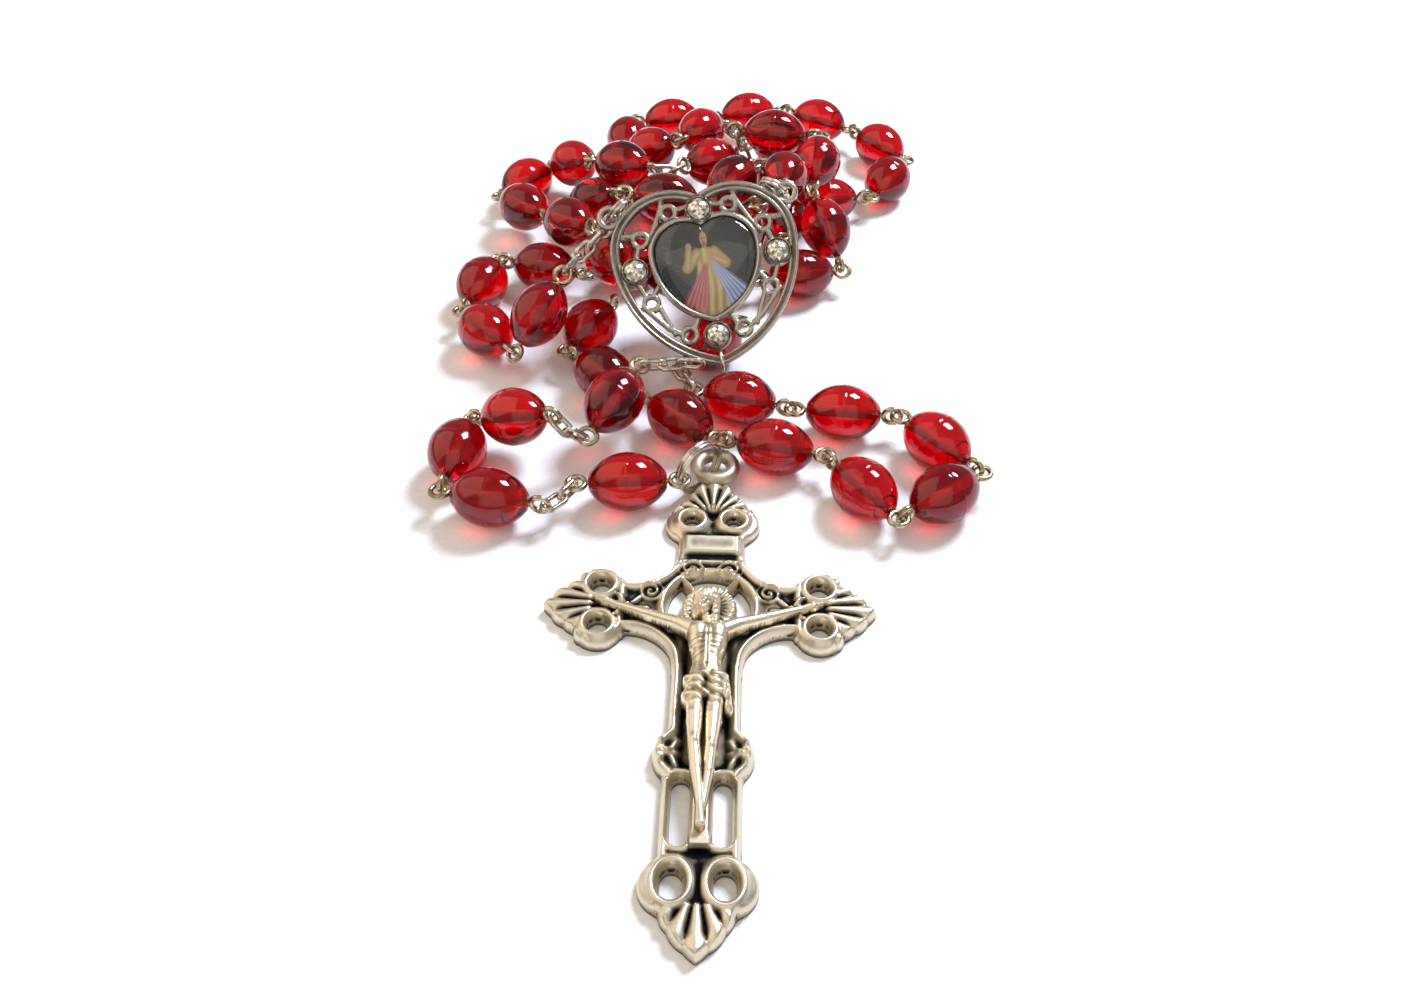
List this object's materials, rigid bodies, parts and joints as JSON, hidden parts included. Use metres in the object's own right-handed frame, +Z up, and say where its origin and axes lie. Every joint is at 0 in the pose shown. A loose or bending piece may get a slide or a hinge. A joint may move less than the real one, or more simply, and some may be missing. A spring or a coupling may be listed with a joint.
{
  "type": "rosary",
  "caption": "Rosary of oval translucent beads on wire eye pins with short chains, a pierced heart medal with a domed picture and a cast crucifix, lying in a loose heap.",
  "frame": {"origin": "middle of the whole object's footprint, on the surface it lies on", "axes": "+Z up from the surface; the crucifix points to -Y, the bead loop and medal lie towards +Y, +X to the right"},
  "size_m": [0.0572, 0.1252, 0.0181],
  "materials": {
    "bead_plastic": "clear red moulded plastic, polished",
    "pin_wire": "plated wire, slightly warm",
    "link_wire": "bright plated wire",
    "cross_casting": "antiqued silver-tone casting, dark in its recesses",
    "figure_casting": "antiqued silver-tone casting, rubbed bright",
    "medal_metal": "plated stamping, grey silver",
    "print_card": "printed card under a clear dome",
    "dome_resin": "clear domed resin",
    "stone_glass": "cut glass stone, foil backed"
  },
  "bodies": {
    "strand": {"pins_first_run": "pin_wire", "pins_second_run": "pin_wire", "pins_third_run": "pin_wire", "pins_fourth_run": "pin_wire", "pins_pendant": "pin_wire", "chain_links": "link_wire", "hidden_beads": "bead_plastic", "crucifix_ring": "link_wire", "medal_jump_rings": "link_wire"},
    "crucifix": {"crucifix_cross": "cross_casting", "corpus": "figure_casting", "corpus_nails": "figure_casting"},
    "medal": {"medal_frame": "medal_metal", "medal_print": "print_card", "medal_dome": "dome_resin", "medal_stones": "stone_glass", "medal_bottom_ring": "link_wire"},
    "body_hail_mary_1_1": {"hail_mary_1_1": "bead_plastic"},
    "body_hail_mary_1_2": {"hail_mary_1_2": "bead_plastic"},
    "body_hail_mary_1_3": {"hail_mary_1_3": "bead_plastic"},
    "body_hail_mary_1_4": {"hail_mary_1_4": "bead_plastic"},
    "body_hail_mary_1_7": {"hail_mary_1_7": "bead_plastic"},
    "body_hail_mary_1_8": {"hail_mary_1_8": "bead_plastic"},
    "body_hail_mary_1_9": {"hail_mary_1_9": "bead_plastic"},
    "body_hail_mary_1_10": {"hail_mary_1_10": "bead_plastic"},
    "body_our_father_2": {"our_father_2": "bead_plastic"},
    "body_hail_mary_2_1": {"hail_mary_2_1": "bead_plastic"},
    "body_hail_mary_2_2": {"hail_mary_2_2": "bead_plastic"},
    "body_hail_mary_2_3": {"hail_mary_2_3": "bead_plastic"},
    "body_hail_mary_2_4": {"hail_mary_2_4": "bead_plastic"},
    "body_hail_mary_2_5": {"hail_mary_2_5": "bead_plastic"},
    "body_hail_mary_2_6": {"hail_mary_2_6": "bead_plastic"},
    "body_hail_mary_3_1": {"hail_mary_3_1": "bead_plastic"},
    "body_hail_mary_3_2": {"hail_mary_3_2": "bead_plastic"},
    "body_hail_mary_3_3": {"hail_mary_3_3": "bead_plastic"},
    "body_hail_mary_3_4": {"hail_mary_3_4": "bead_plastic"},
    "body_hail_mary_3_5": {"hail_mary_3_5": "bead_plastic"},
    "body_hail_mary_3_6": {"hail_mary_3_6": "bead_plastic"},
    "body_hail_mary_3_7": {"hail_mary_3_7": "bead_plastic"},
    "body_hail_mary_3_8": {"hail_mary_3_8": "bead_plastic"},
    "body_hail_mary_3_9": {"hail_mary_3_9": "bead_plastic"},
    "body_hail_mary_3_10": {"hail_mary_3_10": "bead_plastic"},
    "body_hail_mary_4_1": {"hail_mary_4_1": "bead_plastic"},
    "body_hail_mary_4_2": {"hail_mary_4_2": "bead_plastic"},
    "body_hail_mary_4_3": {"hail_mary_4_3": "bead_plastic"},
    "body_hail_mary_4_4": {"hail_mary_4_4": "bead_plastic"},
    "body_hail_mary_4_5": {"hail_mary_4_5": "bead_plastic"},
    "body_hail_mary_4_6": {"hail_mary_4_6": "bead_plastic"},
    "body_hail_mary_4_7": {"hail_mary_4_7": "bead_plastic"},
    "body_hail_mary_4_8": {"hail_mary_4_8": "bead_plastic"},
    "body_hail_mary_4_9": {"hail_mary_4_9": "bead_plastic"},
    "body_hail_mary_5_5": {"hail_mary_5_5": "bead_plastic"},
    "body_hail_mary_5_6": {"hail_mary_5_6": "bead_plastic"},
    "body_hail_mary_5_7": {"hail_mary_5_7": "bead_plastic"},
    "body_hail_mary_5_8": {"hail_mary_5_8": "bead_plastic"},
    "body_pendant_our_father_1": {"pendant_our_father_1": "bead_plastic"},
    "body_pendant_hail_mary_1": {"pendant_hail_mary_1": "bead_plastic"},
    "body_pendant_hail_mary_2": {"pendant_hail_mary_2": "bead_plastic"},
    "body_pendant_hail_mary_3": {"pendant_hail_mary_3": "bead_plastic"},
    "body_pendant_our_father_2": {"pendant_our_father_2": "bead_plastic"}
  },
  "joints": [
    {"name": "crucifix_swing", "type": "hinge", "parent": "strand", "child": "crucifix", "pos_m": [0.00141, -0.01235, 0.00145], "axis": [-1, 0, 0], "range_deg": [0, 14]},
    {"name": "medal_lift", "type": "hinge", "parent": "strand", "child": "medal", "pos_m": [-0.00039, 0.01356, 0.01569], "axis": [-0.9888, -0.1146, -0.0961], "range_deg": [0, 30]},
    {"name": "spin_hail_mary_1_1", "type": "hinge", "parent": "strand", "child": "body_hail_mary_1_1", "pos_m": [-0.01758, 0.00687, 0.00628], "axis": [-0.5173, -0.6228, -0.587], "continuous": true},
    {"name": "spin_hail_mary_1_2", "type": "hinge", "parent": "strand", "child": "body_hail_mary_1_2", "pos_m": [-0.02396, 0.00824, 0.00312], "axis": [-0.6454, 0.7629, -0.0376], "continuous": true},
    {"name": "spin_hail_mary_1_3", "type": "hinge", "parent": "strand", "child": "body_hail_mary_1_3", "pos_m": [-0.02561, 0.01772, 0.00294], "axis": [0.2696, 0.963, 0.0016], "continuous": true},
    {"name": "spin_hail_mary_1_4", "type": "hinge", "parent": "strand", "child": "body_hail_mary_1_4", "pos_m": [-0.0186, 0.02092, 0.00295], "axis": [0.9616, -0.2744, 0], "continuous": true},
    {"name": "spin_hail_mary_1_7", "type": "hinge", "parent": "strand", "child": "body_hail_mary_1_7", "pos_m": [0.01174, 0.01947, 0.00295], "axis": [0.9863, 0.1652, 0], "continuous": true},
    {"name": "spin_hail_mary_1_8", "type": "hinge", "parent": "strand", "child": "body_hail_mary_1_8", "pos_m": [0.01487, 0.02513, 0.00577], "axis": [-0.3073, 0.8221, 0.4792], "continuous": true},
    {"name": "spin_hail_mary_1_9", "type": "hinge", "parent": "strand", "child": "body_hail_mary_1_9", "pos_m": [0.01426, 0.03498, 0.00902], "axis": [0.1583, 0.9766, 0.1457], "continuous": true},
    {"name": "spin_hail_mary_1_10", "type": "hinge", "parent": "strand", "child": "body_hail_mary_1_10", "pos_m": [0.00924, 0.04079, 0.00978], "axis": [-0.9876, 0.1567, 0.0045], "continuous": true},
    {"name": "spin_our_father_2", "type": "hinge", "parent": "strand", "child": "body_our_father_2", "pos_m": [0.00135, 0.03728, 0.00774], "axis": [-0.6974, -0.6663, 0.264], "continuous": true},
    {"name": "spin_hail_mary_2_1", "type": "hinge", "parent": "strand", "child": "body_hail_mary_2_1", "pos_m": [-0.00977, 0.03462, 0.0088], "axis": [-0.8028, 0.56, -0.2048], "continuous": true},
    {"name": "spin_hail_mary_2_2", "type": "hinge", "parent": "strand", "child": "body_hail_mary_2_2", "pos_m": [-0.01667, 0.04179, 0.0051], "axis": [-0.4908, 0.7431, -0.4549], "continuous": true},
    {"name": "spin_hail_mary_2_3", "type": "hinge", "parent": "strand", "child": "body_hail_mary_2_3", "pos_m": [-0.02278, 0.04091, 0.00297], "axis": [-0.6226, -0.7821, 0.0254], "continuous": true},
    {"name": "spin_hail_mary_2_4", "type": "hinge", "parent": "strand", "child": "body_hail_mary_2_4", "pos_m": [-0.02218, 0.03257, 0.00419], "axis": [0.6317, -0.7525, 0.1862], "continuous": true},
    {"name": "spin_hail_mary_2_5", "type": "hinge", "parent": "strand", "child": "body_hail_mary_2_5", "pos_m": [-0.01564, 0.02438, 0.007], "axis": [0.5748, -0.7534, 0.3195], "continuous": true},
    {"name": "spin_hail_mary_2_6", "type": "hinge", "parent": "strand", "child": "body_hail_mary_2_6", "pos_m": [-0.01022, 0.01535, 0.00804], "axis": [0.4338, -0.896, -0.0952], "continuous": true},
    {"name": "spin_hail_mary_3_1", "type": "hinge", "parent": "strand", "child": "body_hail_mary_3_1", "pos_m": [-0.00002, 0.04545, 0.00767], "axis": [-0.5074, -0.8332, 0.22], "continuous": true},
    {"name": "spin_hail_mary_3_2", "type": "hinge", "parent": "strand", "child": "body_hail_mary_3_2", "pos_m": [-0.00673, 0.04406, 0.00569], "axis": [-0.7087, 0.4726, -0.5239], "continuous": true},
    {"name": "spin_hail_mary_3_3", "type": "hinge", "parent": "strand", "child": "body_hail_mary_3_3", "pos_m": [-0.01012, 0.0523, 0.00301], "axis": [0.025, 0.9996, -0.0108], "continuous": true},
    {"name": "spin_hail_mary_3_4", "type": "hinge", "parent": "strand", "child": "body_hail_mary_3_4", "pos_m": [-0.00415, 0.05788, 0.00295], "axis": [0.9952, 0.0982, -0.0002], "continuous": true},
    {"name": "spin_hail_mary_3_5", "type": "hinge", "parent": "strand", "child": "body_hail_mary_3_5", "pos_m": [0.00656, 0.05968, 0.00295], "axis": [0.9746, 0.2239, 0], "continuous": true},
    {"name": "spin_hail_mary_3_6", "type": "hinge", "parent": "strand", "child": "body_hail_mary_3_6", "pos_m": [0.01641, 0.05767, 0.00295], "axis": [0.8465, -0.5324, 0], "continuous": true},
    {"name": "spin_hail_mary_3_7", "type": "hinge", "parent": "strand", "child": "body_hail_mary_3_7", "pos_m": [0.02423, 0.05035, 0.00295], "axis": [0.6096, -0.7927, 0], "continuous": true},
    {"name": "spin_hail_mary_3_8", "type": "hinge", "parent": "strand", "child": "body_hail_mary_3_8", "pos_m": [0.0243, 0.04131, 0.00295], "axis": [-0.5057, -0.8627, 0], "continuous": true},
    {"name": "spin_hail_mary_3_9", "type": "hinge", "parent": "strand", "child": "body_hail_mary_3_9", "pos_m": [0.01597, 0.03602, 0.00297], "axis": [-0.9861, -0.1658, 0.0042], "continuous": true},
    {"name": "spin_hail_mary_3_10", "type": "hinge", "parent": "strand", "child": "body_hail_mary_3_10", "pos_m": [0.01042, 0.02944, 0.00401], "axis": [-0.1063, -0.9793, 0.1723], "continuous": true},
    {"name": "spin_hail_mary_4_1", "type": "hinge", "parent": "strand", "child": "body_hail_mary_4_1", "pos_m": [-0.01237, 0.00917, 0.00295], "axis": [-0.4545, -0.8908, 0], "continuous": true},
    {"name": "spin_hail_mary_4_2", "type": "hinge", "parent": "strand", "child": "body_hail_mary_4_2", "pos_m": [-0.01036, 0.00068, 0.00295], "axis": [0.7278, -0.6858, 0], "continuous": true},
    {"name": "spin_hail_mary_4_3", "type": "hinge", "parent": "strand", "child": "body_hail_mary_4_3", "pos_m": [-0.00218, -0.00649, 0.00295], "axis": [0.7718, -0.6359, 0], "continuous": true},
    {"name": "spin_hail_mary_4_4", "type": "hinge", "parent": "strand", "child": "body_hail_mary_4_4", "pos_m": [0.00739, -0.01105, 0.00295], "axis": [0.972, -0.2351, 0], "continuous": true},
    {"name": "spin_hail_mary_4_5", "type": "hinge", "parent": "strand", "child": "body_hail_mary_4_5", "pos_m": [0.01567, -0.01701, 0.00295], "axis": [0.5814, -0.8136, 0], "continuous": true},
    {"name": "spin_hail_mary_4_6", "type": "hinge", "parent": "strand", "child": "body_hail_mary_4_6", "pos_m": [0.02335, -0.01764, 0.00295], "axis": [0.8117, 0.5841, 0], "continuous": true},
    {"name": "spin_hail_mary_4_7", "type": "hinge", "parent": "strand", "child": "body_hail_mary_4_7", "pos_m": [0.02366, -0.01019, 0.00295], "axis": [-0.6368, 0.771, 0], "continuous": true},
    {"name": "spin_hail_mary_4_8", "type": "hinge", "parent": "strand", "child": "body_hail_mary_4_8", "pos_m": [0.01464, -0.00569, 0.00295], "axis": [-0.994, 0.1092, 0], "continuous": true},
    {"name": "spin_hail_mary_4_9", "type": "hinge", "parent": "strand", "child": "body_hail_mary_4_9", "pos_m": [0.00403, -0.00347, 0.00295], "axis": [-0.9587, 0.2845, 0], "continuous": true},
    {"name": "spin_hail_mary_5_5", "type": "hinge", "parent": "strand", "child": "body_hail_mary_5_5", "pos_m": [-0.01312, 0.02993, 0.00636], "axis": [0.6123, -0.5462, 0.5715], "continuous": true},
    {"name": "spin_hail_mary_5_6", "type": "hinge", "parent": "strand", "child": "body_hail_mary_5_6", "pos_m": [-0.00428, 0.02613, 0.00921], "axis": [0.9833, -0.1819, -0.0016], "continuous": true},
    {"name": "spin_hail_mary_5_7", "type": "hinge", "parent": "strand", "child": "body_hail_mary_5_7", "pos_m": [0.00379, 0.03018, 0.00909], "axis": [0.5358, 0.8441, -0.0186], "continuous": true},
    {"name": "spin_hail_mary_5_8", "type": "hinge", "parent": "strand", "child": "body_hail_mary_5_8", "pos_m": [0.00986, 0.0288, 0.01053], "axis": [-0.0786, -0.9437, 0.3213], "continuous": true},
    {"name": "spin_pendant_our_father_1", "type": "hinge", "parent": "strand", "child": "body_pendant_our_father_1", "pos_m": [-0.00707, -0.016, 0.00295], "axis": [-0.9991, -0.0428, 0], "continuous": true},
    {"name": "spin_pendant_hail_mary_1", "type": "hinge", "parent": "strand", "child": "body_pendant_hail_mary_1", "pos_m": [-0.02018, -0.0182, 0.00295], "axis": [-0.9821, 0.1885, 0], "continuous": true},
    {"name": "spin_pendant_hail_mary_2", "type": "hinge", "parent": "strand", "child": "body_pendant_hail_mary_2", "pos_m": [-0.02423, -0.01144, 0.00295], "axis": [0.1452, 0.9894, 0], "continuous": true},
    {"name": "spin_pendant_hail_mary_3", "type": "hinge", "parent": "strand", "child": "body_pendant_hail_mary_3", "pos_m": [-0.01864, -0.00893, 0.00517], "axis": [0.8281, -0.4136, 0.3784], "continuous": true},
    {"name": "spin_pendant_our_father_2", "type": "hinge", "parent": "strand", "child": "body_pendant_our_father_2", "pos_m": [-0.00873, -0.00664, 0.00542], "axis": [0.4942, 0.8365, 0.2367], "continuous": true}
  ]
}
